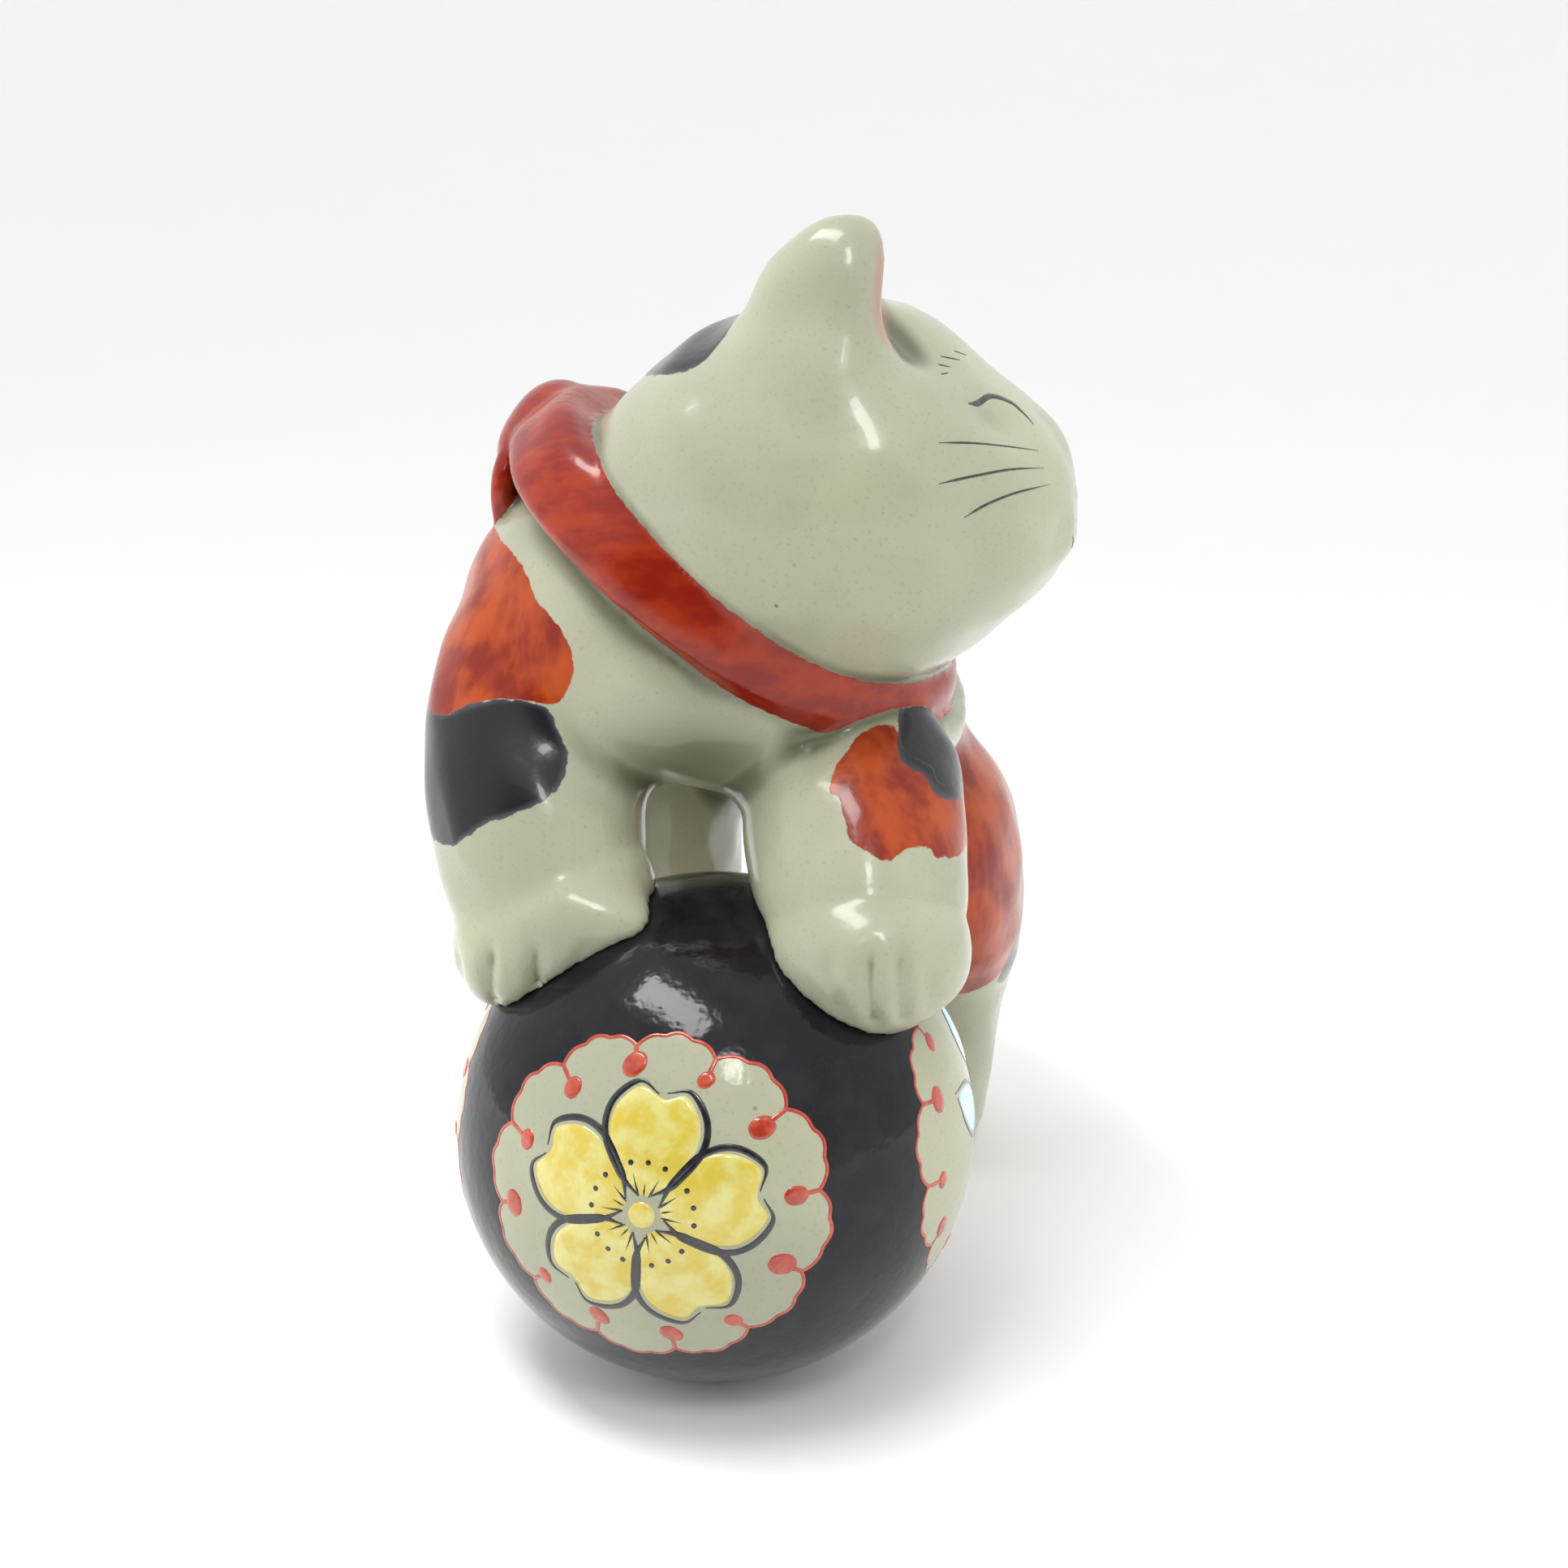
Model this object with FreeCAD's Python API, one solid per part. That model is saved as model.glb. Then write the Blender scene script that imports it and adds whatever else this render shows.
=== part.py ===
"""Beckoning cat figurine: a glazed ceramic cat with its forepaws on a ball.

Frame: millimetres, +Z up, origin at the centre of the ball's foot. The cat faces -Y and its
head is turned to +X. Every piece is a hollow or solid casting that is luted to its neighbours,
so each one is cut by the piece that it sits on and meets it face to face.
"""
import FreeCAD, Part
import math
import os

V = FreeCAD.Vector

# ---- driving dimensions, millimetres and degrees ----
WALL = 4.0                # thickness of every slip-cast wall
VENT_D = 3.0              # air hole that lets a closed casting be fired

BALL_WIDTH = 72.0
BALL_TALL = 69.0          # height of the whole spheroid, before its foot is cut flat
FOOT_D = 22.0             # diameter of the ball's flat, unglazed foot
VENT_FROM_AXIS = 6.0      # the ball's air hole, off the middle of its foot

BODY_X = -4.0             # the body's middle plane, beside the ball's axis
BODY_FRONT = -9.0         # front of the chest
TORSO_LENGTH = 119.0
TORSO_WIDTH = 74.0
TORSO_TALL = 50.0
CHEST_SHIFT = -3.0        # the chest leans this far off the body's middle plane
CHEST_FROM_FRONT = 29.75
CHEST_RISE = 27.6         # middle of the chest above the top of the ball
RUMP_Z = 74.0             # middle of the rump above the floor

NECK_FROM_CHEST = V(6.9, -1.4, 14.6)
NECK_AXIS = V(0.60, -0.13, 0.79)
HEAD_FROM_NECK = V(13.3, -4.6, 8.4)
HEAD_LENGTH = 69.5
HEAD_WIDTH = 60.0
HEAD_TALL = 54.0
NAPE_LIFT = 4.5           # the back of the head rises by this much towards the nape
EAR_INSET = 13.0          # ear's middle, in from the side of the head
EAR_TALL = 7.6            # ear tip above the crown
LEFT_EAR_SPLAY = 16.0     # the head is cocked, so its left ear leans out by this angle
EAR_BASE = 24.0
EAR_THICK = 19.0

COLLAR_RELIEF = 2.0       # how far the collar stands out from the neck
COLLAR_BAND = 11.5        # width of the band along the neck
COLLAR_FLARE = 2.5        # the lower edge stands out by this much more than the upper edge
COLLAR_DEPTH = 9.0        # radial thickness of the band, most of it let into the neck
KNOT_LENGTH = 18.0
KNOT_THICK = 10.5
KNOT_TALL = 17.0
KNOT_DROP = 3.5           # knot's middle below the middle of the band, along the neck
COLLAR_END_LENGTH = 11.0
COLLAR_END_WIDTH = 6.8
COLLAR_END_THICK = 3.6

FORELEG_D = 30.6
RIGHT_SHOULDER = V(-18.0, -3.0, 12.0)    # from the middle of the chest
LEFT_SHOULDER = V(23.0, -2.0, -9.0)
RIGHT_BOW = V(-4.2, 0.0, 1.0)            # sideways bow of each foreleg at mid length
LEFT_BOW = V(-1.0, 0.7, 1.5)
RIGHT_PAW = (-20.5, -7.0)                # middle of each paw, from the ball's axis
LEFT_PAW = (22.0, -7.0)
RIGHT_TOES = V(-0.75, -0.45, -0.62)      # directions that the toes point in
LEFT_TOES = V(0.35, -0.90, -0.12)
PAW_LENGTH = 30.0
PAW_WIDTH = 27.0
PAW_TALL = 22.0
PAW_LIFT = 2.6            # paw's middle above the ball's surface

HIND_SPREAD = 26.0        # middle of each hind leg, out from the body's middle plane
HIND_FROM_TAIL = 35.0     # middle of each hind leg, forward of the end of the rump
HAUNCH_ABOVE_RUMP = 7.0   # top of the haunch above the middle of the rump
HAUNCH_WIDTH = 30.0
HAUNCH_LENGTH = 54.0

TAIL_LENGTH = 20.0
TAIL_D = 16.0
TAIL_DOWN = 44.0          # the tail points down by this angle

RING_POINTS = 12          # points that shape each oval section
TIP = 0.14                # tiny flat at each end of a pod, as a share of the section beside it

# ---- places that follow from the dimensions ----
BALL_R = BALL_WIDTH / 2
BALL_RZ = BALL_TALL / 2
BALL_Z = BALL_RZ * math.sqrt(1 - (FOOT_D / BALL_WIDTH) ** 2)
BALL_TOP = BALL_Z + BALL_RZ
CHEST = V(BODY_X + CHEST_SHIFT, BODY_FRONT + CHEST_FROM_FRONT, BALL_TOP + CHEST_RISE)
NECK = CHEST + NECK_FROM_CHEST
HEAD = NECK + HEAD_FROM_NECK
CROWN = 0.495 * HEAD_TALL                 # crown above the head's centre, as in build_head
COLLAR_LONG = 0.475 * HEAD_LENGTH + COLLAR_RELIEF
COLLAR_SHORT = 0.475 * HEAD_WIDTH + COLLAR_RELIEF
EAR_SPREAD = HEAD_WIDTH / 2 - EAR_INSET
EAR_RISE = CROWN + EAR_TALL
TORSO_END = BODY_FRONT + TORSO_LENGTH
HIND_Y = TORSO_END - HIND_FROM_TAIL
HIND_TALL = RUMP_Z + HAUNCH_ABOVE_RUMP

# stations that round off a plain oval pod, as shares of its half length
OVAL_STATIONS = (-0.92, -0.6, -0.2, 0.2, 0.6, 0.92)


# ---- shape helpers ----
def ring(centre, normal, side, half, up, down):
    """Closed smooth section: half wide along side, up and down tall."""
    n = V(normal).normalize()
    across = (side - n * side.dot(n)).normalize()
    rise = n.cross(across)
    if rise.z < 0 or (abs(rise.z) < 1e-6 and rise.y < 0):
        rise = rise * -1
    points = []
    for i in range(RING_POINTS):
        angle = 2 * math.pi * i / RING_POINTS
        tall = up if math.sin(angle) > 0 else down
        points.append(centre + across * (half * math.cos(angle)) + rise * (tall * math.sin(angle)))
    curve = Part.BSplineCurve()
    curve.interpolate(Points=points, PeriodicFlag=True)
    return Part.Wire([curve.toShape()])


def pod(start, sections, end, shrink=0.0):
    """Smooth closed solid from one end point to the other through oval sections.

    Each section is (centre, normal, side, half, up, down), as in ring. shrink insets the whole
    pod, for a cavity.
    """
    kept = [s for s in sections if min(s[3:]) > shrink + 1.0]
    wires = []
    for centre, normal, side, half, up, down in kept:
        wires.append(ring(centre, normal, side, half - shrink, up - shrink, down - shrink))

    def tip(point, beside, outermost):
        centre, normal, side, half, up, down = beside
        inwards = (outermost[0] - point).normalize() * shrink
        return ring(point + inwards, normal, side, TIP * (half - shrink), TIP * (up - shrink),
                    TIP * (down - shrink))

    ends = tip(start, kept[0], sections[0]), tip(end, kept[-1], sections[-1])
    return Part.makeLoft([ends[0]] + wires + [ends[1]], True, False)


def oval_pod(centre, along, side, length, width, tall, shrink=0.0):
    """Egg-shaped pod about a centre: length along one direction, width along side."""
    forward = V(along).normalize()
    reach = forward * (length / 2)
    sections = []
    for t in OVAL_STATIONS:
        size = math.sqrt(1 - t * t)
        sections.append((centre + reach * t, forward, side, size * width / 2,
                         size * tall / 2, size * tall / 2))
    return pod(centre - reach, sections, centre + reach, shrink)


def spheroid(centre, radius, z_radius):
    grow = FreeCAD.Matrix()
    grow.scale(radius, radius, z_radius)
    grow.move(centre)
    return Part.makeSphere(1.0).transformGeometry(grow)


def half_space(centre, normal):
    """A block that fills the side of a plane that its normal points to."""
    size = 4 * TORSO_LENGTH
    block = Part.makeBox(size, size, size, V(-size / 2, -size / 2, 0))
    block.Placement = FreeCAD.Placement(centre, FreeCAD.Rotation(V(0, 0, 1), normal))
    return block


def on_ball(x, y):
    """Point of the ball's upper surface over x, y."""
    reach = (x * x + y * y) / BALL_R ** 2
    return V(x, y, BALL_Z + BALL_RZ * math.sqrt(1 - reach))


# ---- pieces ----
def build_ball():
    """The ball's outer solid, and the hollow ball with its flat foot and air hole."""
    middle = V(0, 0, BALL_Z)
    outer = spheroid(middle, BALL_R, BALL_RZ).common(half_space(V(0, 0, 0), V(0, 0, 1)))
    cavity = spheroid(middle, BALL_R - WALL, BALL_RZ - WALL)
    cavity = cavity.common(half_space(V(0, 0, WALL), V(0, 0, 1)))
    vent = Part.makeCylinder(VENT_D / 2, 2 * WALL, V(VENT_FROM_AXIS, 0, 0))
    return outer, outer.cut(cavity).cut(vent)


def build_torso(shrink=0.0):
    """Chest, belly and rump in one casting, along Y."""
    # share of length, of half width, of the drop from chest to rump, of height up and down,
    # and the section's roll in degrees, which lowers the shoulder that the head hangs over
    stations = [
        (0.013, 0.32, 0.00, 0.20, 0.18, 0),
        (0.050, 0.60, 0.00, 0.40, 0.25, 6),
        (0.117, 0.84, 0.00, 0.54, 0.31, 12),
        (0.200, 0.98, 0.00, 0.62, 0.33, 15),
        (0.290, 1.01, 0.03, 0.62, 0.34, 16),
        (0.400, 0.95, 0.12, 0.50, 0.33, 15),
        (0.520, 0.88, 0.36, 0.38, 0.32, 10),
        (0.640, 0.86, 0.72, 0.32, 0.28, 5),
        (0.760, 0.84, 1.00, 0.28, 0.26, 0),
        (0.870, 0.74, 1.10, 0.26, 0.25, 0),
        (0.950, 0.50, 1.14, 0.20, 0.19, 0),
        (0.990, 0.22, 1.14, 0.09, 0.09, 0),
    ]

    def spine(along, drop):
        x = BODY_X + CHEST_SHIFT * max(0.0, 1 - along / 0.6)
        return V(x, BODY_FRONT + along * TORSO_LENGTH, CHEST.z + (RUMP_Z - CHEST.z) * drop)

    sections = []
    for along, wide, drop, up, down, roll in stations:
        angle = math.radians(roll)
        sections.append((spine(along, drop), V(0, 1, 0), V(math.cos(angle), 0, -math.sin(angle)),
                         wide * TORSO_WIDTH / 2, up * TORSO_TALL, down * TORSO_TALL))
    return pod(spine(0.0, 0.0), sections, spine(1.0, stations[-1][2]), shrink)


def build_head(shrink=0.0):
    """Head along X, from the nape to the nose."""
    # share of length, of half width, of height up and down
    stations = [
        (0.03, 0.27, 0.100, 0.100),
        (0.16, 0.70, 0.250, 0.240),
        (0.30, 0.92, 0.410, 0.390),
        (0.44, 1.00, 0.480, 0.480),
        (0.58, 1.00, 0.495, 0.510),
        (0.71, 0.93, 0.445, 0.455),
        (0.81, 0.81, 0.345, 0.360),
        (0.90, 0.65, 0.250, 0.265),
        (0.96, 0.45, 0.155, 0.185),
        (0.99, 0.24, 0.080, 0.095),
    ]
    nape = HEAD - V(0.525 * HEAD_LENGTH, 0, 0)

    def axis(along):
        lift = NAPE_LIFT * max(0.0, 1 - along / 0.45) ** 1.3
        return nape + V(along * HEAD_LENGTH, 0, lift)

    sections = []
    for along, wide, up, down in stations:
        sections.append((axis(along), V(1, 0, 0), V(0, 1, 0), wide * HEAD_WIDTH / 2,
                         up * HEAD_TALL, down * HEAD_TALL))
    return pod(axis(0.0), sections, axis(1.0), shrink)


def build_ear(side):
    """side is -1 for the cat's right ear and +1 for its left."""
    # share of rise, forward shift, half length and half thickness as shares
    stations = [
        (0.360, 0.0, 1.08, 1.20),
        (0.580, 1.0, 0.96, 0.95),
        (0.740, 2.0, 0.81, 0.75),
        (0.870, 3.3, 0.61, 0.56),
        (0.955, 4.3, 0.40, 0.38),
    ]

    def axis(rise, shift):
        return HEAD + V(shift, side * (EAR_SPREAD - 1.0 + 1.5 * rise), rise * EAR_RISE)

    sections = []
    for rise, shift, long_share, thick_share in stations:
        thick = thick_share * EAR_THICK / 2
        sections.append((axis(rise, shift), V(0, 0, 1), V(1, 0, 0),
                         long_share * EAR_BASE / 2, thick, thick))
    ear = pod(axis(0.15, 0.0), sections, axis(1.0, 4.7))
    if side > 0:
        ear.rotate(HEAD, V(1, 0, 0), -LEFT_EAR_SPLAY)
    return ear


def build_foreleg(shoulder, paw_place, bow, toes, shrink=0.0):
    """Leg from the shoulder to a paw on the ball."""
    paw = on_ball(*paw_place) + V(0, 0, PAW_LIFT)
    # share of the way from shoulder to paw, share of the leg's thickness
    stations = [(0.08, 0.70), (0.26, 0.97), (0.48, 1.0), (0.70, 0.97), (0.90, 0.90), (1.08, 0.72)]

    def axis(s):
        return shoulder * (1 - s) + paw * s + bow * (4 * s * (1 - s))

    sections = []
    for s, thick in stations:
        along = axis(s + 0.02) - axis(s - 0.02)
        radius = thick * FORELEG_D / 2
        sections.append((axis(s), along, V(1, 0, 0), radius, radius, radius))
    leg = pod(axis(-0.12), sections, axis(1.22), shrink)
    across = V(toes).normalize().cross(V(0, 0, 1))
    return leg.fuse(oval_pod(paw, toes, across, PAW_LENGTH, PAW_WIDTH, PAW_TALL, shrink))


def build_hind_leg(side, shrink=0.0):
    """Haunch, shank and foot in one; side is -1 for the cat's right and +1 for its left."""
    # share of height, shift out and back, half width and half length as shares
    stations = [
        (0.000, -3.0, 3.5, 0.60, 0.62),
        (0.030, -3.0, 3.0, 0.74, 0.74),
        (0.110, -2.4, 3.5, 0.82, 0.76),
        (0.220, -1.6, 8.0, 0.82, 0.58),
        (0.350, -0.8, 8.0, 0.90, 0.62),
        (0.475, 0.2, 3.0, 0.98, 0.86),
        (0.600, 0.5, 0.0, 1.00, 1.00),
        (0.725, 0.0, -1.0, 0.97, 0.97),
        (0.840, -1.0, -1.5, 0.86, 0.87),
        (0.930, -2.8, 0.0, 0.62, 0.64),
        (0.980, -4.2, 0.0, 0.32, 0.34),
    ]
    wires = []
    for rise, out, back, wide, long_share in stations:
        z = rise * HIND_TALL
        half = wide * HAUNCH_WIDTH / 2 - shrink
        length = long_share * HAUNCH_LENGTH / 2 - shrink
        sole = rise == 0.0
        if min(half, length) > 1.0 and (sole or z > shrink):
            centre = V(BODY_X + side * (HIND_SPREAD + out), HIND_Y + back, shrink if sole else z)
            wires.append(ring(centre, V(0, 0, 1), V(1, 0, 0), half, length, length))
    top = V(BODY_X + side * (HIND_SPREAD + stations[-1][1]), HIND_Y, HIND_TALL - shrink)
    wires.append(ring(top, V(0, 0, 1), V(1, 0, 0), TIP * half, TIP * length, TIP * length))
    return Part.makeLoft(wires, True, False)


def build_tail():
    """Stub of a tail at the end of the rump."""
    root = V(BODY_X, BODY_FRONT + 0.95 * TORSO_LENGTH, RUMP_Z + 1.0)
    down = math.radians(TAIL_DOWN)
    reach = V(0, math.cos(down), -math.sin(down)) * TAIL_LENGTH
    sections = []
    for s, size in ((0.1, 0.85), (0.4, 1.0), (0.65, 0.95), (0.85, 0.68), (0.96, 0.35)):
        radius = size * TAIL_D / 2
        sections.append((root + reach * s, reach, V(1, 0, 0), radius, radius, radius))
    return pod(root - reach * 0.25, sections, root + reach)


def collar_frame():
    """Neck direction, then the collar oval's long way, to the throat, and its short way."""
    n = V(NECK_AXIS).normalize()
    long_way = (V(1, 0, 0) - n * n.x).normalize()
    return n, long_way, n.cross(long_way)


def collar_oval(inset=0.0):
    """The collar's outer shape as a solid across the whole neck, or the same shape inset."""
    n, long_way, short_way = collar_frame()
    # place across the band, and how far the oval stands out there
    stations = ((-0.5, -1.0), (-0.36, 0.6), (0.0, 1.0), (0.36, 0.4), (0.5, -1.0))
    wires = []
    for t, out in stations:
        grow = out - t * COLLAR_FLARE - inset
        wires.append(ring(NECK + n * (t * COLLAR_BAND), n, long_way, COLLAR_LONG + grow,
                          COLLAR_SHORT + grow, COLLAR_SHORT + grow))
    return Part.makeLoft(wires, True, False)


def build_collar_band():
    return collar_oval().cut(collar_oval(COLLAR_DEPTH))


def knot_centre():
    """Middle of the knot, at the nape and a little below the middle of the band."""
    n, long_way, short_way = collar_frame()
    return NECK - long_way * (COLLAR_LONG - 1.0) + short_way * 2.0 - n * KNOT_DROP


def build_collar_knot():
    n, long_way, short_way = collar_frame()
    return oval_pod(knot_centre(), short_way, long_way, KNOT_LENGTH, KNOT_THICK, KNOT_TALL)


def build_collar_end(side):
    """One short pointed end that hangs out of the knot, below the band."""
    n, long_way, short_way = collar_frame()
    root = knot_centre() - long_way * 1.5 + short_way * (side * KNOT_LENGTH / 3) - n * 3.0
    reach = (V(0, 0, -1) - n * 0.4 + short_way * (side * 0.35)).normalize()
    reach = reach * COLLAR_END_LENGTH
    sections = []
    for s, size in ((0.1, 0.8), (0.4, 1.0), (0.7, 0.8), (0.92, 0.35)):
        tall = size * COLLAR_END_WIDTH / 2
        sections.append((root + reach * s, reach, long_way, size * COLLAR_END_THICK / 2,
                         tall, tall))
    return pod(root - reach * 0.2, sections, root + reach)


def build_parts():
    """Every piece, cut by the pieces that it sits on, by its node name."""
    ball_solid, ball = build_ball()
    above_neck = half_space(NECK, NECK_AXIS)
    torso_solid = build_torso().cut(above_neck)
    torso_cavity = build_torso(WALL).cut(above_neck)
    head_solid = build_head().common(above_neck)
    head_cavity = build_head(WALL).common(above_neck)
    belly_vent = Part.makeCylinder(VENT_D / 2, RUMP_Z, V(BODY_X, BODY_FRONT + TORSO_LENGTH / 2, 0))
    parts = {
        "ball": ball,
        "torso": torso_solid.cut(torso_cavity).cut(belly_vent),
        "head": head_solid.cut(head_cavity),
    }
    for name, side in (("ear_right", -1), ("ear_left", 1)):
        parts[name] = build_ear(side).cut(head_solid)

    forelegs = (
        ("foreleg_right", RIGHT_SHOULDER, RIGHT_PAW, RIGHT_BOW, RIGHT_TOES),
        ("foreleg_left", LEFT_SHOULDER, LEFT_PAW, LEFT_BOW, LEFT_TOES),
    )
    for name, shoulder, paw_place, bow, toes in forelegs:
        leg = build_foreleg(CHEST + shoulder, paw_place, bow, toes)
        cavity = build_foreleg(CHEST + shoulder, paw_place, bow, toes, WALL)
        parts[name] = leg.cut(cavity).cut(torso_solid).cut(head_solid).cut(ball_solid)
    for name, side in (("hind_leg_right", -1), ("hind_leg_left", 1)):
        parts[name] = build_hind_leg(side).cut(build_hind_leg(side, WALL)).cut(torso_solid)
    parts["tail"] = build_tail().cut(torso_solid)

    taken = [torso_solid, head_solid, parts["foreleg_right"], parts["foreleg_left"]]
    collar = (
        ("collar_band", build_collar_band()),
        ("collar_knot", build_collar_knot()),
        ("collar_end_right", build_collar_end(-1)),
        ("collar_end_left", build_collar_end(1)),
    )
    for name, shape in collar:
        parts[name] = shape.cut(taken)
        taken = taken + [parts[name]]
    return parts


def main():
    os.makedirs("parts", exist_ok=True)
    for name, shape in build_parts().items():
        print(name, shape.isValid(), len(shape.Solids), round(shape.Volume))
        shape.exportStep("parts/" + name + ".step")


main()
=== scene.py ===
"""Looks of a beckoning cat figurine, a calico cat leaning on a ball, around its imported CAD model.

The castings and the collar are fused into one even skin, as glaze runs over their seams. The skin
is sculpted, gets its painted patches as distance fields, and is cut back into one closed piece
for each casting. The ball and the raised enamel lines are pieces of their own. Sizes are in
millimetres until a mesh is made.
"""
import math
import bpy
import bmesh
import numpy as np
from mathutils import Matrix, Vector
from mathutils.bvhtree import BVHTree


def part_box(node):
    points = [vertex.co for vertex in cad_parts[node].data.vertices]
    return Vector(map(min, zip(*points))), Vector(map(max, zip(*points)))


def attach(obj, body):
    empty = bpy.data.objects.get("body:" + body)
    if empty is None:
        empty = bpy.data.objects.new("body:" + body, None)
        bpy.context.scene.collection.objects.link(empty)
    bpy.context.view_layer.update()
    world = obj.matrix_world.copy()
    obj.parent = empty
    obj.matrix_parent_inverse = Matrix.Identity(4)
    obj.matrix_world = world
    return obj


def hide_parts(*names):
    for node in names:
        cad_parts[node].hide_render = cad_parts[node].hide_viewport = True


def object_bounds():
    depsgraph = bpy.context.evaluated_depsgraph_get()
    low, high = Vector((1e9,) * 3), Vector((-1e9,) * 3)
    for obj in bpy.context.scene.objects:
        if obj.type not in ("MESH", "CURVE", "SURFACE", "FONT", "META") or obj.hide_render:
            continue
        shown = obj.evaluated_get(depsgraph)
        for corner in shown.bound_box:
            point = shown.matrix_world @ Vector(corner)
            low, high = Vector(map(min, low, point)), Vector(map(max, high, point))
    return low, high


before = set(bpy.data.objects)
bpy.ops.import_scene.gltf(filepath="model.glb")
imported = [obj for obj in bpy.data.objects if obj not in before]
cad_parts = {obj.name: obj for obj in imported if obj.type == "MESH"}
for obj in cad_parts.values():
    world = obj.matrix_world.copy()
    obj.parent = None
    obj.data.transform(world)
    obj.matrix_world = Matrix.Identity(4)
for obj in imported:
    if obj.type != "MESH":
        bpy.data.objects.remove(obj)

CAD_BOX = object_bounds()
MM = 0.001

# ---- places, read from the frame ----
BOX = {name: [np.array(corner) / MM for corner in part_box(name)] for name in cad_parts}
MID = {name: (low + high) / 2 for name, (low, high) in BOX.items()}
LOW_CORNER, HIGH_CORNER = (np.array(corner) / MM for corner in CAD_BOX)
NOSE_REACH = 33.0       # from the head's middle to the tip of the nose
CROWN_REACH = 26.75     # and to the top of the crown
HEAD = np.array([BOX["head"][1][0] - NOSE_REACH, MID["head"][1], BOX["head"][1][2] - CROWN_REACH])
ENAMEL_ROOM = 0.17      # the ball is drawn this much smaller, to leave room for raised enamel
BALL_SQUASH = 0.958     # height of the whole spheroid over its width
BALL_R = (BOX["ball"][1][0] - BOX["ball"][0][0]) / 2 - ENAMEL_ROOM
BALL_RZ = BALL_SQUASH * BALL_R
BALL_MID = np.array([0.0, 0.0, BOX["ball"][1][2] - BALL_RZ])
FOOT_R = 11.0           # radius of the ball's flat, unglazed foot

# ---- the glazed skin ----
SKIN_NODES = ("head", "ear_right", "ear_left", "torso", "foreleg_right", "foreleg_left",
              "hind_leg_right", "hind_leg_left", "tail",
              "collar_band", "collar_knot", "collar_end_right", "collar_end_left")
COLLAR = [i for i, name in enumerate(SKIN_NODES) if name.startswith("collar")]
BODY = [i for i, name in enumerate(SKIN_NODES) if not name.startswith("collar")]
VOXEL = 0.7             # size of the quads of the glazed skin
REACH = 12.0            # distances beyond this are not told apart
FAR = 5.0               # paint fields are clipped at this distance
ROUND = 1.0             # rounds off where a patch's outline meets the edge of its window

# how far the glaze rounds off the seam between two kinds of casting
SEAM = {("ear", "head"): 7.0, ("foreleg_right", "torso"): 9.0, ("foreleg_left", "torso"): 3.0,
        ("hind", "torso"): 11.0, ("tail", "torso"): 6.0, ("collar", ""): 1.6}
OTHER_SEAM = 3.0
COLLAR_CRISP = 2.0      # the skin keeps its shape this close to the collar
SEAM_ROUNDS = 140       # rounds of smoothing over the seams
EVEN_ROUNDS = 6         # and over the whole skin

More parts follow.
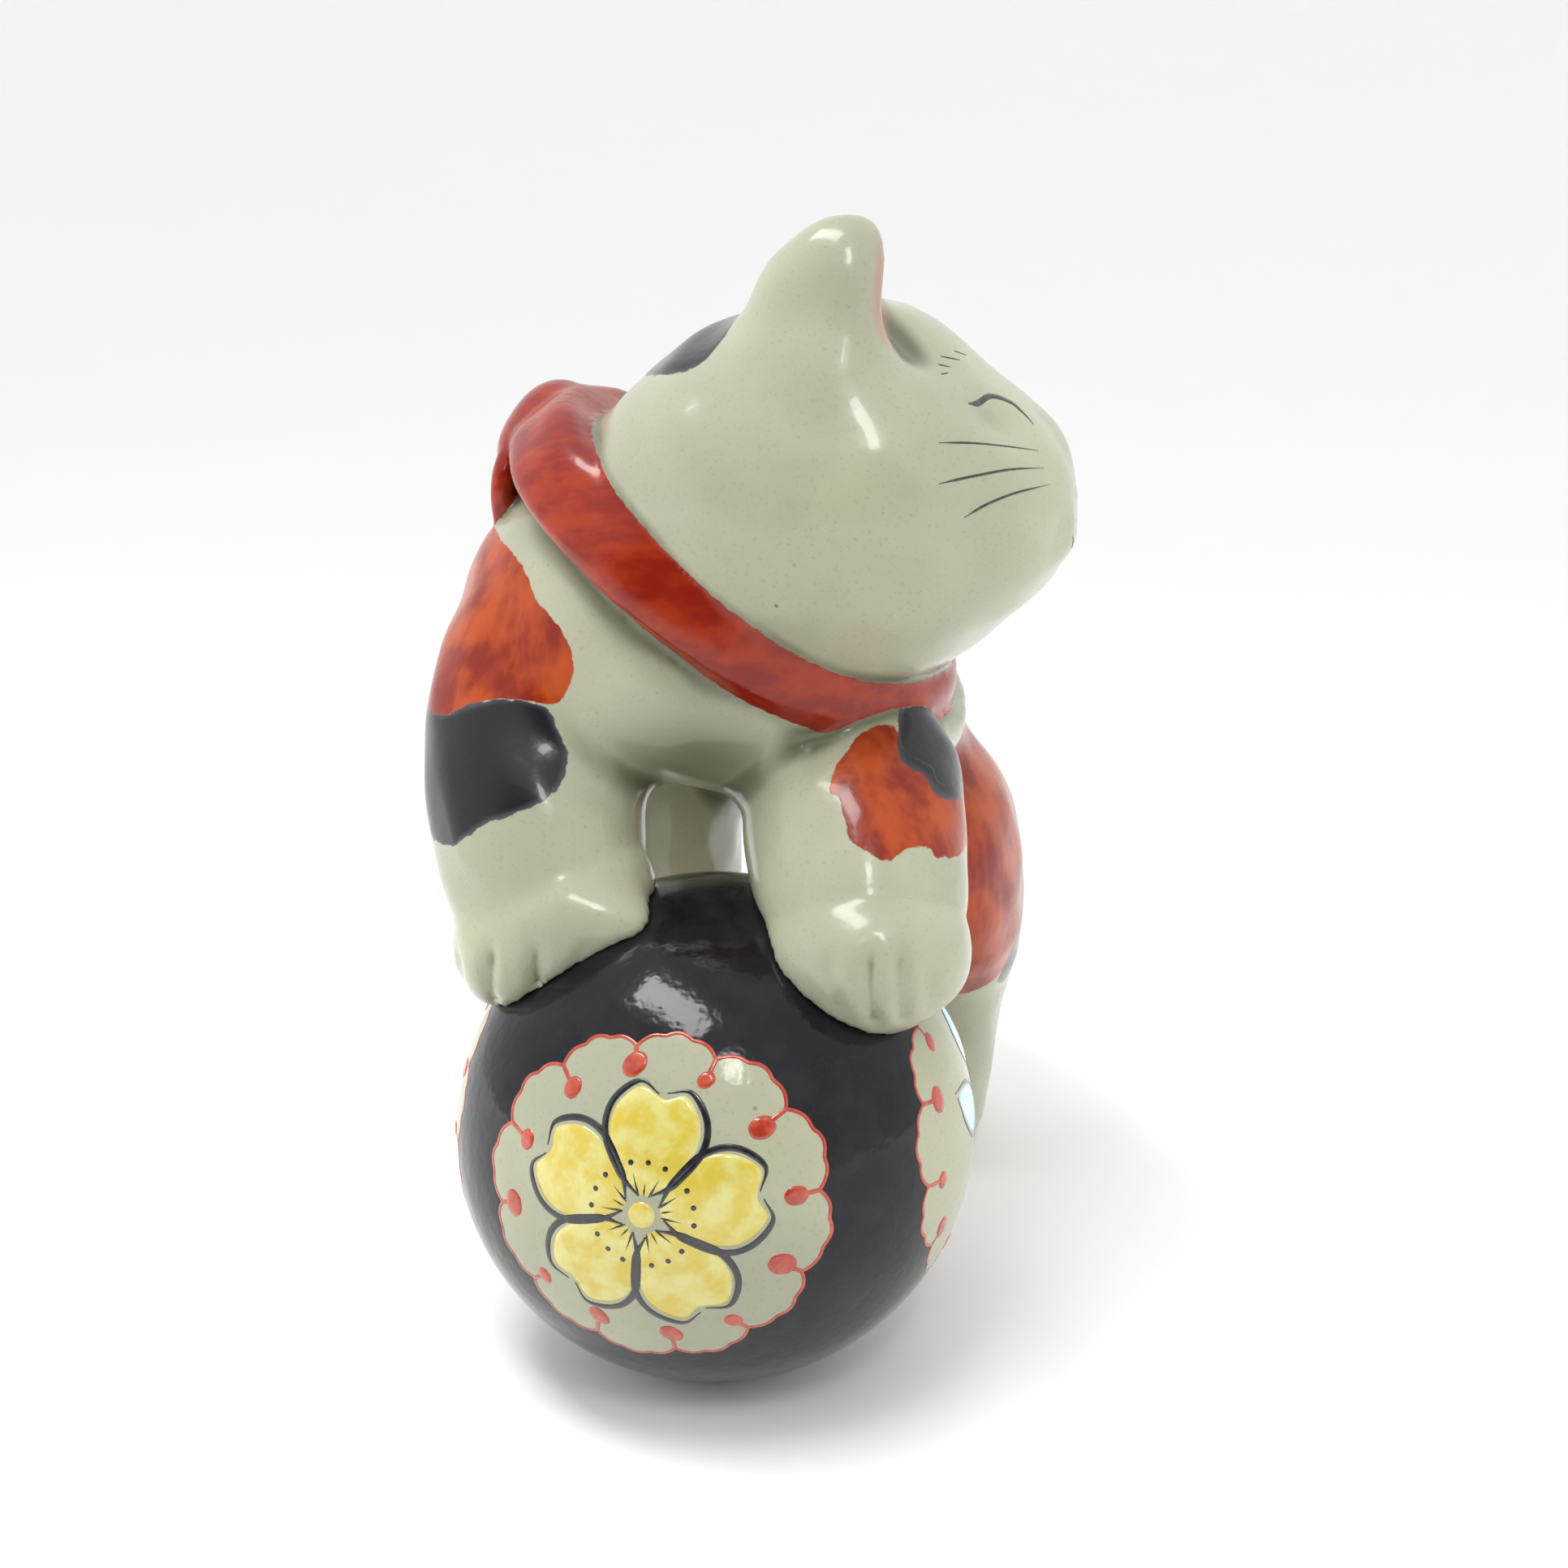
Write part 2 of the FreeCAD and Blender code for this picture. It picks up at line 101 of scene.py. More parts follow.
# ---- paint, each outline in two of the axes of the frame and a window along the third ----
# (colour, nodes that carry it, the outline's two axes, window axis, from, to, outline)
PATCHES = (
    ("orange", ("torso", "foreleg_right"), (0, 2), 1, -40, 17,
     ((-31, 112.5), (-25.5, 109), (-22.5, 105), (-18.7, 101.5), (-16.8, 98), (-17.2, 94.5),
      (-19.5, 92), (-26, 92.3), (-31, 91.5), (-36, 89.3), (-46, 88), (-47, 113), (-38, 115))),
    ("black", ("torso", "foreleg_right"), (0, 2), 1, -40, 9,
     ((-36, 89.6), (-31, 91.6), (-26, 92.4), (-22, 92), (-20, 91), (-18.5, 88), (-17.2, 84.5),
      (-18.2, 81), (-22.5, 78.6), (-26.5, 77), (-29.5, 75), (-34, 73.4), (-46, 76), (-47, 89))),
    ("orange", ("foreleg_left",), (0, 2), 1, -40, 9,
     ((20, 88), (22, 89.2), (24.4, 88.8), (26, 86), (29, 84), (31, 81.5), (38, 79), (39, 73),
      (32.6, 73.4), (30, 75), (27.8, 75.6), (25.4, 74.3), (22.8, 75.4), (20.6, 77), (19.6, 79),
      (18.6, 81.2), (17.2, 82), (17.8, 84.8))),
    ("black", ("foreleg_left", "torso"), (0, 2), 1, -4, 16,
     ((24.6, 88.6), (24.6, 92), (28, 96), (37, 96), (38, 79), (31.4, 79.8), (28.4, 83), (25.4, 85.2))),
    ("black", ("head", "ear_right", "ear_left"), (0, 1), 2, 128, 160,
     ((-9.5, 3), (-5, -4.2), (-0.6, -6.2), (2.6, -5.4), (4.2, -2), (5, 6), (2, 14), (-4, 17),
      (-10, 12))),
    ("orange", ("hind_leg_left", "torso"), (1, 2), 0, 8, 60,
     ((58, 79), (69, 79), (76, 73), (79, 64), (77, 55), (74, 46), (72, 38), (67, 32.5),
      (59, 31.5), (51, 34), (46, 42), (45, 55), (48, 68))),
    ("black", ("hind_leg_left", "torso"), (1, 2), 0, 8, 60,
     ((77, 61), (74, 51), (71, 42), (70, 34), (76, 31), (85, 36), (92, 46), (91, 57), (85, 63))),
    ("black", ("hind_leg_right", "torso"), (1, 2), 0, -60, -29,
     ((58, 70), (68, 76), (79, 73), (84, 63), (80, 53), (70, 49), (60, 52), (55, 61))),
    ("orange", ("hind_leg_right", "torso"), (1, 2), 0, -60, -29,
     ((60, 50), (70, 48), (79, 51), (85, 45), (83, 34), (73, 29), (62, 32), (56, 41))),
    ("orange", ("torso",), (0, 1), 2, 84, 160,
     ((-22, 56), (-12, 50), (0, 52), (10, 58), (12, 68), (4, 74), (-8, 73), (-18, 68))),
    ("black", ("torso", "tail"), (0, 1), 2, 60, 160,
     ((-14, 84), (-4, 78), (6, 79), (14, 86), (13, 95), (3, 99), (-8, 98), (-15, 92))),
    ("black", ("tail",), (0, 1), 2, 40, 160,
     ((-20, 112.5), (-4, 111.5), (12, 112.5), (12, 130), (-20, 130))),
)

# painted shade under the chest, between the forelegs, where the glaze also runs thick
CHIN_POOL_AND_SHADE = np.array([-2.0, -4.0, 86.0])
CHIN_POOL_AND_SHADE_R = np.array([17.0, 14.0, 11.0])
CHIN_POOL_AND_SHADE_DEPTH = 0.85
# glaze pools in hollows, and painted shade darkens creases and hollows with the same tone: rounds of
# smoothing that find hollows of one width, and their weight
POOL_AND_SHADE_ROUNDS = ((14, 2.6), (40, 1.7), (260, 0.9))

# the pink inside each ear and on the nose
PINK_INWARDS = 2.5      # the ear's pink lies this far towards the head's middle
PINK_RISE = 0.52        # the height of its middle, as a share of the ear's
PINK_HALF = 6.0, 10.5   # its half width and half height
PINK_FACING = 0.80      # it covers only what faces forwards at least this much
NOSE_AT = np.array([32.5, 0, -0.4])    # middle of the nose, from the head's middle
NOSE_HALF = 2.6, 1.5    # its half width and half height
NOSE_TAPER = 0.75       # the half width grows this much per millimetre upwards

# toe grooves, seen from the front: top and bottom of each in X and Z, depth
TOES = {
    "foreleg_right": ((-30.5, 62, -31.5, 53, 0.5), (-24.3, 64.5, -25.8, 52, 0.9),
                      (-18.3, 65, -18.6, 54, 0.9), (-12.6, 64.5, -13.4, 59, 0.5)),
    "foreleg_left": ((19.4, 66, 20.4, 58, 0.5), (24.6, 67.5, 25.0, 56, 0.8),
                     (28.2, 67.5, 28.4, 56, 0.7), (31.8, 66, 31.7, 56, 0.5)),
    "hind_leg_right": tuple((x, 9, x, 1, 0.7) for x in (-33.0, -27.5, -22.0)),
    "hind_leg_left": tuple((x, 9, x, 1, 0.7) for x in (14.0, 19.5, 25.0)),
}
TOE_HALF = 1.2          # half width of a groove
# the right paw's thumb: its place, how far it is pulled out, and its reach
SPUR = (np.array([-8.5, -14.2, 63.6]), np.array([3.4, -0.8, 0.3]), 4.2)

# mounds and hollows of the face: place from the head's middle, radii, height. Those of the cheeks
# come in pairs, at Y and at minus Y
CHEEK_BUMPS = (
    ((22.5, 15.5, 9.5), (8, 7, 6.5), -1.0),
    ((31.0, 5.2, -4.5), (7, 6.5, 5.5), 1.0),
)
MIDDLE_BUMPS = (
    ((32.5, 0, -0.2), (5, 3.6, 2.6), 1.0),
    ((30.0, 0, 8.0), (7, 6, 7), 0.6),
    ((32.0, 0, -5.5), (6, 1.6, 3.5), -0.7),
)
EAR_HOLLOW = (14, 8.0, 14.0), -3.4     # radii and height of the hollow in front of each ear
EAR_FRONT = 2.0         # the hollow's middle, behind the ear's front edge
EAR_TURN = 3.0          # and towards the head's middle
EAR_BACK = (8.0, 9.0, 11.0), -0.9      # radii and height of the flattening outside each ear
SKIN_WAVE = 0.14        # height of the hand-made unevenness
BOX_ROOM = 0.02         # the skin stays this far inside the CAD box

# ---- enamel lines of one side of the face, seen from half way round to the nose: distance
# towards the nose and height, both from the head's middle, then each line's widest width ----
CHEEK_VIEW = 0.72, 0.69
SIDE_LINES = (
    (((1.3, 11.8), (3.1, 11.9), (6.1, 12.9), (9.1, 12.2), (10.5, 10.8), (11.3, 9.5)), 0.95),
    (((-0.4, 15.4), (0.9, 15.6)), 0.32), (((0.5, 16.7), (2.0, 16.4)), 0.32),
    (((1.8, 17.8), (4.4, 17.4)), 0.32), (((4.6, 18.6), (7.0, 18.2)), 0.32),
    (((-5.5, 7.0), (-0.8, 7.0), (4.0, 6.7), (10.0, 6.2)), 0.34),
    (((-6.3, 2.2), (-1.6, 3.1), (3.8, 3.9), (10.2, 4.1)), 0.38),
    (((-3.0, -1.8), (0.3, -0.1), (4.6, 1.2), (11.0, 2.1)), 0.38),
)
# the mouth, seen from the nose: Y and Z from the head's middle
MOUTH_LINES = (
    (((0.0, -2.6), (0.1, -4.6)), 0.4),
    (((0.1, -4.4), (1.6, -6.0), (4.2, -6.0), (6.2, -4.6)), 0.45),
    (((-0.1, -4.4), (-1.6, -6.0), (-4.2, -6.0), (-6.2, -4.6)), 0.45),
)


# ---- numpy helpers ----
def unit(v):
    v = np.asarray(v, float)
    return v / np.linalg.norm(v, axis=-1, keepdims=True)


def ease(x):
    """Smooth step from 0 at 0 to 1 at 1."""
    x = np.clip(x, 0, 1)
    return x * x * (3 - 2 * x)


def smooth_line(points, closed=False, per_span=8):
    """Points along a Catmull-Rom curve through the given ones."""
    p = np.array(points, float)
    if closed:
        p = np.concatenate([p[-1:], p, p[:2]])
    else:
        p = np.concatenate([[2 * p[0] - p[1]], p, [2 * p[-1] - p[-2]]])
    t = (np.arange(per_span) / per_span)[:, None]
    spans = []
    for a, b, c, d in zip(p[:-3], p[1:-2], p[2:-1], p[3:]):
        spans.append(b + 0.5 * t * (c - a + t * (2 * a - 5 * b + 4 * c - d
                                                 + t * (3 * (b - c) + d - a))))
    if not closed:
        spans.append(p[-2:-1])
    return np.concatenate(spans)


def to_segment(points, a, b):
    """Distance of 2D points from a segment, and their place along it from 0 to 1."""
    a, b = np.asarray(a, float), np.asarray(b, float)
    along = np.clip((points - a) @ (b - a) / ((b - a) @ (b - a)), 0, 1)
    return np.linalg.norm(points - a - along[:, None] * (b - a), axis=1), along


def inside_distance(flat, outline):
    """Distance of 2D points from a smooth closed outline, positive inside it."""
    loop = smooth_line(outline, closed=True, per_span=5)
    out = np.full(len(flat), -FAR)
    near = np.all((flat > loop.min(0) - FAR) & (flat < loop.max(0) + FAR), axis=1)
    q = flat[near]
    best = np.full(len(q), FAR)
    odd = np.zeros(len(q), bool)
    for a, b in zip(loop, np.roll(loop, -1, 0)):
        best = np.minimum(best, to_segment(q, a, b)[0])
        if a[1] != b[1]:
            level = (a[1] > q[:, 1]) != (b[1] > q[:, 1])
            odd ^= level & (q[:, 0] < (b[0] - a[0]) * (q[:, 1] - a[1]) / (b[1] - a[1]) + a[0])
    out[near] = np.where(odd, best, -best)
    return out


class Skin:
    """The cat's glazed surface as arrays: points in millimetres, quads, edges and neighbours."""

    def __init__(self, mesh):
        count = len(mesh.vertices)
        self.points = np.empty(count * 3)
        mesh.vertices.foreach_get("co", self.points)
        self.points = self.points.reshape(-1, 3) / MM
        self.quads = np.empty(len(mesh.polygons) * 4, int)
        mesh.polygons.foreach_get("vertices", self.quads)
        self.quads = self.quads.reshape(-1, 4)
        edges = np.empty(len(mesh.edges) * 2, int)
        mesh.edges.foreach_get("vertices", edges)
        edges = edges.reshape(-1, 2)
        both = np.concatenate([edges, edges[:, ::-1]])
        self.near = both[np.argsort(both[:, 0], kind="stable")]
        self.degree = np.bincount(both[:, 0], minlength=count)
        self.start = np.concatenate([[0], np.cumsum(self.degree)[:-1]])

    def around(self, values):
        """Mean of each point's neighbours."""
        total = np.add.reduceat(values[self.near[:, 1]], self.start, axis=0)
        return total / self.degree.reshape((-1,) + (1,) * (values.ndim - 1))

    def relax(self, weight, rounds):
        weight = 0.5 * weight[:, None]
        for _ in range(rounds):
            self.points += weight * (self.around(self.points) - self.points)

    def normals(self):
        a, b, c, d = (self.points[self.quads[:, k]] for k in range(4))
        face = np.cross(c - a, d - b)
        out = np.zeros_like(self.points)
        for k in range(4):
            for axis in range(3):
                out[:, axis] += np.bincount(self.quads[:, k], face[:, axis], len(out))
        return unit(out + 1e-12)

    def push(self, amount):
        """Moves each point along its normal, in millimetres."""
        self.points += self.normals() * amount[:, None]

    def tree(self):
        return BVHTree.FromPolygons((self.points * MM).tolist(), self.quads.tolist())


def add_object(name, data):
    added = bpy.data.objects.new(name, data)
    bpy.context.scene.collection.objects.link(added)
    return added


def mesh_lists(mesh):
    return [v.co for v in mesh.vertices], [tuple(p.vertices) for p in mesh.polygons]


def fused_skin():
    """All the castings and the collar in one closed skin of even quads."""
    bm = bmesh.new()
    for name in SKIN_NODES:
        bm.from_mesh(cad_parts[name].data)
    bmesh.ops.remove_doubles(bm, verts=bm.verts, dist=1e-7)
    mesh = bpy.data.meshes.new("fused")
    bm.to_mesh(mesh)
    bm.free()
    holder = add_object("fused", mesh)
    remesh = holder.modifiers.new("quads", "REMESH")
    remesh.mode = "VOXEL"
    remesh.voxel_size = VOXEL * MM
    evaluated = holder.evaluated_get(bpy.context.evaluated_depsgraph_get())
    skin = Skin(bpy.data.meshes.new_from_object(evaluated))
    bpy.data.objects.remove(holder)
    return skin


def distances(skin):
    """Distance from each skin point to each node's own surface, one column per node."""
    table = np.full((len(skin.points), len(SKIN_NODES)), REACH)
    for column, name in enumerate(SKIN_NODES):
        tree = BVHTree.FromPolygons(*mesh_lists(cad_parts[name].data))
        low, high = BOX[name]
        close = np.all((skin.points > low - REACH) & (skin.points < high + REACH), axis=1)
        for i in np.nonzero(close)[0]:
            found = tree.find_nearest(skin.points[i] * MM, REACH * MM)
            if found[0] is not None:
                table[i, column] = found[3] / MM
    return table


def seam_reach(one, other):
    for (first, second), reach in SEAM.items():
        if one.startswith(first) and other.startswith(second):
            return reach
        if other.startswith(first) and one.startswith(second):
            return reach
    return OTHER_SEAM


def blend_seams(skin, away, label):
    """Fills the creases between the castings, as glaze and slip do."""
    weight = np.zeros(len(skin.points))
    for a, one in enumerate(SKIN_NODES):
        mine = label == a
        for b, other in enumerate(SKIN_NODES):
            if a != b:
                reach = seam_reach(one, other)
                weight[mine] = np.maximum(weight[mine], ease(1.15 - away[mine, b] / reach))
    collar = np.min(away[:, COLLAR], axis=1) < COLLAR_CRISP
    skin.relax(np.where(collar, 0.0, weight), SEAM_ROUNDS)
    skin.relax(np.full(len(weight), 0.6), EVEN_ROUNDS)


# ---- sculpting ----
def bump(skin, centre, radii, height):
    """A smooth mound, or a hollow where height is negative."""
    away = np.linalg.norm((skin.points - centre) / radii, axis=1)
    return height * ease(1 - away)


def sculpt(skin, label):
    """Toes, face, ears, the paw's thumb and a slight unevenness of the whole skin."""
    normals = skin.normals()
    amount = np.zeros(len(skin.points))
    for name, grooves in TOES.items():
        on_paw = (label == SKIN_NODES.index(name)) * np.clip(-normals[:, 1] * 1.6, 0, 1)
        for x0, z0, x1, z1, depth in grooves:
            gap, along = to_segment(skin.points[:, [0, 2]], (x0, z0), (x1, z1))
            amount -= on_paw * depth * ease(along * 2.5) * np.exp(-(gap / TOE_HALF) ** 2)
    facing = np.clip(normals[:, 0] * 2 - 0.4, 0, 1)
    for side, ear in ((-1, "ear_right"), (1, "ear_left")):
        for (x, y, z), radii, height in CHEEK_BUMPS:
            amount += bump(skin, HEAD + (x, side * y, z), radii, height)
        low, high = BOX[ear]
        middle_z = low[2] + 0.5 * (high[2] - low[2])
        front = np.array([high[0] - EAR_FRONT, MID[ear][1] - EAR_TURN * side, middle_z])
        amount += facing * bump(skin, front, *EAR_HOLLOW)
        outside = np.array([MID[ear][0], low[1] if side < 0 else high[1], middle_z])
        amount += bump(skin, outside, *EAR_BACK)
    for place, radii, height in MIDDLE_BUMPS:
        amount += bump(skin, HEAD + place, radii, height)
    skin.push(amount)
    place, shift, reach = SPUR
    near = ease(1 - np.linalg.norm(skin.points - place, axis=1) / (2 * reach))
    skin.points += near[:, None] * (label == SKIN_NODES.index("foreleg_right"))[:, None] * shift
    wave = (np.sin(skin.points @ (0.31, 0.17, 0.23)) * np.sin(skin.points @ (-0.19, 0.29, 0.13) + 1)
            + 0.5 * np.sin(skin.points @ (0.47, -0.38, 0.52) + 2))
    skin.push(SKIN_WAVE * wave)
    skin.points = np.clip(skin.points, LOW_CORNER + BOX_ROOM, HIGH_CORNER - BOX_ROOM)


# ---- painted fields ----
def tidy_labels(skin, label):
    """Rounds off the border between two castings, so that each piece has a clean rim."""
    share = np.eye(len(SKIN_NODES))[label]
    for _ in range(10):
        share = 0.5 * share + 0.5 * skin.around(share)
    return np.argmax(share, axis=1)


def paint(skin, away, label):
    """Signed distances of every painted colour, positive where it is painted, and a field of pooled glaze
    and painted shade.
    """
    fields = {name: np.full(len(skin.points), -FAR) for name in ("orange", "black", "pink")}
    for colour, nodes, axes, across, start, end, outline in PATCHES:
        where = np.isin(label, [SKIN_NODES.index(name) for name in nodes])
        spots = skin.points[where]
        depth = spots[:, across] + 1.5 * np.sin(spots @ (0.33, 0.21, 0.37))
        window = np.clip(np.minimum(depth - start, end - depth), -FAR, FAR)
        shape = inside_distance(spots[:, axes], outline)
        both = -ROUND * np.log(np.exp(-window / ROUND) + np.exp(-shape / ROUND))
        fields[colour][where] = np.maximum(fields[colour][where], np.clip(both, -FAR, FAR))
    red = np.min(away[:, BODY], axis=1) - np.min(away[:, COLLAR], axis=1)
    for _ in range(4):
        red = 0.5 * red + 0.5 * skin.around(red)
    fields["red"] = np.clip(red, -FAR, FAR)
    normals = skin.normals()
    for ear in ("ear_right", "ear_left"):
        low, high = BOX[ear]
        inwards = PINK_INWARDS if ear == "ear_right" else -PINK_INWARDS
        middle = MID[ear][1] + inwards, low[2] + PINK_RISE * (high[2] - low[2])
        inner = 1 - np.linalg.norm((skin.points[:, 1:] - middle) / PINK_HALF, axis=1)
        inner = np.minimum(PINK_HALF[0] * inner, 12 * (normals[:, 0] - PINK_FACING))
        inner = np.where(label == SKIN_NODES.index(ear), inner, -FAR)
        fields["pink"] = np.maximum(fields["pink"], np.clip(inner, -FAR, FAR))
    nose = skin.points - HEAD - NOSE_AT
    half, tall = NOSE_HALF
    width = half + NOSE_TAPER * nose[:, 2]
    tip = np.minimum(width - np.abs(nose[:, 1]), tall - np.abs(nose[:, 2])) * 0.8
    fields["pink"] = np.maximum(fields["pink"], np.where(nose[:, 0] > -6, tip, -FAR))
    # pool_and_shade: how far each point lies in a hollow, for pooled glaze and painted shade in creases;
    # then a painted shade under the chest
    smooth = skin.points
    for rounds, share in POOL_AND_SHADE_ROUNDS:
        for _ in range(rounds):
            smooth = 0.5 * smooth + 0.5 * skin.around(smooth)
        sunk = share * np.sum((smooth - skin.points) * normals, axis=1)
        fields["pool_and_shade"] = np.maximum(fields.get("pool_and_shade", sunk), sunk)
    fields["pool_and_shade"] = np.maximum(fields["pool_and_shade"], bump(skin, CHIN_POOL_AND_SHADE, CHIN_POOL_AND_SHADE_R, CHIN_POOL_AND_SHADE_DEPTH))
    return fields


# ---- meshes ----
def make_piece(name, mesh, material, slot, *nodes):
    """An object on the one body, with its material, that stands for its CAD nodes."""
    piece = add_object(name, mesh)
    mesh.materials.append(material)
    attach(piece, "root")
    if nodes:
        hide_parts(*nodes)


def add_field(mesh, name, values):
    """Stores a value for each point of a mesh, for its material to read."""
    layer = mesh.attributes.new(name, "FLOAT", "POINT")
    layer.data.foreach_set("value", values.astype(np.float32))


def smooth_mesh(name, points, faces):
    mesh = bpy.data.meshes.new(name)
    mesh.from_pydata((np.asarray(points) * MM).tolist(), [], [list(map(int, f)) for f in faces])
    mesh.polygons.foreach_set("use_smooth", [True] * len(mesh.polygons))
    return mesh


def boundary_loops(faces):
    """Closed loops of the edges that only one face has, each in the order that closes it."""
    ring_edges = {}
    for face in faces:
        for a, b in zip(face, np.roll(face, -1)):
            ring_edges[(int(a), int(b))] = True
    after = {}
    for a, b in ring_edges:
        if (b, a) not in ring_edges:
            after.setdefault(b, []).append(a)
    loops = []
    while after:
        first = next(iter(after))
        loop, spot = [], first
        while spot in after:
            loop.append(spot)
            step = after[spot].pop()
            if not after[spot]:
                del after[spot]
            spot = step
        loops.append(loop)
    return loops


def cut_piece(skin, normals, fields, faces, name):
    """The mesh of one casting: its part of the skin, closed inside by a fan on each rim."""
    used, inverse = np.unique(faces, return_inverse=True)
    faces = inverse.reshape(-1, 4)
    points = list(skin.points[used])
    out_normals = list(normals[used])
    polygons = [list(f) for f in faces]
    source = list(used)
    for loop in boundary_loops(faces):
        middle = np.mean([points[i] for i in loop], axis=0)
        around = np.mean([out_normals[i] for i in loop], axis=0)
        inner = []
        for i in loop:
            inner.append(len(points))
            points.append(points[i] - 1.2 * out_normals[i] + 0.15 * (middle - points[i]))
            out_normals.append(out_normals[i])
            source.append(source[i])
        centre = len(points)
        points.append(np.mean(points[-len(inner):], axis=0))
        out_normals.append(-around + 1e-6)
        source.append(source[loop[0]])
        for k in range(len(loop)):
            j = (k + 1) % len(loop)
            polygons.append([loop[k], loop[j], inner[j], inner[k]])
            polygons.append([inner[k], inner[j], centre])
    mesh = smooth_mesh(name, points, polygons)
    for field, values in fields.items():
        add_field(mesh, field, values[source])
    mesh.normals_split_custom_set_from_vertices(unit(np.array(out_normals)).tolist())
    return mesh


def cut_pieces(skin, label, fields, material):
    """One closed piece for each casting and each part of the collar."""
    normals = skin.normals()
    quad_label = label[skin.quads]
    owner = np.max(quad_label, axis=1)
    for index, name in enumerate(SKIN_NODES):
        faces = skin.quads[owner == index]
        if not len(faces):
            continue
        slot = "red_glaze" if name.startswith("collar") else "white_glaze"
        mesh = cut_piece(skin, normals, fields, faces, name + "_glazed")
        make_piece(name + "_glazed", mesh, material, slot, name)


# ---- materials ----
class Nodes:
    """Short way to build a node material around one Principled shader; sizes in millimetres."""

    def __init__(self, name, roughness=0.12, coat=0.0, coat_roughness=0.03):
        self.material = bpy.data.materials.new(name)
        self.material.use_nodes = True
        self.tree = self.material.node_tree
        self.shader = self.tree.nodes["Principled BSDF"]
        self.shader.inputs["Roughness"].default_value = roughness
        self.shader.inputs["Coat Weight"].default_value = coat
        self.shader.inputs["Coat Roughness"].default_value = coat_roughness
        place = self.add("ShaderNodeTexCoord").outputs["Object"]
        scaled = self.add("ShaderNodeVectorMath", operation="SCALE")
        scaled.inputs["Scale"].default_value = 1 / MM
        self.link(place, scaled.inputs[0])
        self.place = scaled.outputs[0]      # place on the object, in millimetres

    def add(self, kind, **settings):
        node = self.tree.nodes.new(kind)
        for key, value in settings.items():
            setattr(node, key, value)
        return node

    def link(self, source, target):
        if isinstance(source, (int, float, tuple)):
            target.default_value = source
        else:
            self.tree.links.new(source, target)

    def noise(self, size, detail=2.0, stretch=(1, 1, 1), rough=0.5):
        """Noise whose blobs are about size millimetres across."""
        scaled = self.add("ShaderNodeVectorMath", operation="MULTIPLY")
        self.link(self.place, scaled.inputs[0])
        scaled.inputs[1].default_value = [1 / (size * s) for s in stretch]
        node = self.add("ShaderNodeTexNoise")
        self.link(scaled.outputs[0], node.inputs["Vector"])
        node.inputs["Scale"].default_value = 1.0
        node.inputs["Detail"].default_value = detail
        node.inputs["Roughness"].default_value = rough
        return node.outputs["Fac"]

    def math(self, operation, a, b=0.0):
        node = self.add("ShaderNodeMath", operation=operation)
        self.link(a, node.inputs[0])
        self.link(b, node.inputs[1])
        return node.outputs[0]

    def ramp(self, value, low, high):
        """0 at low and 1 at high, smoothly."""
        node = self.add("ShaderNodeMapRange", interpolation_type="SMOOTHSTEP")
        self.link(value, node.inputs["Value"])
        node.inputs["From Min"].default_value = low
        node.inputs["From Max"].default_value = high
        return node.outputs["Result"]

    def mix(self, factor, a, b):
        node = self.add("ShaderNodeMix", data_type="RGBA")
        self.link(factor, node.inputs[0])
        for socket, colour in ((node.inputs[6], a), (node.inputs[7], b)):
            self.link(colour + (1.0,) if isinstance(colour, tuple) else colour, socket)
        return node.outputs[2]

    def field(self, name):
        return self.add("ShaderNodeAttribute", attribute_name=name).outputs["Fac"]

    def painted(self, name, wobble=0.5, edge=0.1):
        """Mask of a painted colour, with the unsteady edge of a brush."""
        unsteady = self.math("MULTIPLY", self.math("SUBTRACT", self.noise(1.6, 3), 0.5), 2 * wobble)
        return self.ramp(self.math("ADD", self.field(name), unsteady), -edge, edge)

    def raise_by(self, height, distance):
        node = self.add("ShaderNodeBump")
        node.inputs["Distance"].default_value = distance * MM
        self.link(height, node.inputs["Height"])
        self.link(node.outputs[0], self.shader.inputs["Normal"])

    def colour(self, source):
        self.link(source, self.shader.inputs["Base Color"])


PALE = (0.385, 0.385, 0.27)
PALE_COOL = (0.33, 0.335, 0.245)
SPECK = (0.20, 0.20, 0.14)
IRON = (0.10, 0.06, 0.03)
# dark olive of thick glaze in hollows, also used as painted shade in creases and under the chest
POOL_AND_SHADE = (0.13, 0.135, 0.085)
ORANGE_THICK = (0.19, 0.010, 0.001)
ORANGE_THIN = (0.38, 0.052, 0.004)
RED_THICK = (0.20, 0.010, 0.003)
RED_THIN = (0.31, 0.028, 0.006)
BLACK = (0.012, 0.012, 0.015)
BLACK_THIN = (0.075, 0.075, 0.085)
PINK = (0.42, 0.17, 0.12)
CLAY = (0.50, 0.43, 0.33)
YELLOW = (0.56, 0.43, 0.05)
YELLOW_PALE = (0.60, 0.56, 0.20)
BLUE = (0.32, 0.66, 0.74)
BLUE_PALE = (0.58, 0.76, 0.76)


def pale_glaze(nodes):
    """Colour of the pale grey-green glaze with its specks and iron spots."""
    base = nodes.mix(nodes.ramp(nodes.noise(26, 3), 0.35, 0.65), PALE, PALE_COOL)
    speck = nodes.math("MULTIPLY", nodes.ramp(nodes.noise(0.55, 3, rough=0.7), 0.56, 0.72), 0.35)
    base = nodes.mix(speck, base, SPECK)
    cells = nodes.add("ShaderNodeTexVoronoi")
    nodes.link(nodes.place, cells.inputs["Vector"])
    cells.inputs["Scale"].default_value = 1 / 7.0
    dot = nodes.ramp(cells.outputs["Distance"], 0.050, 0.028)
    some = nodes.ramp(nodes.noise(9, 1), 0.50, 0.56)
    return nodes.mix(nodes.math("MULTIPLY", nodes.math("MULTIPLY", dot, some), 0.75), base, IRON)


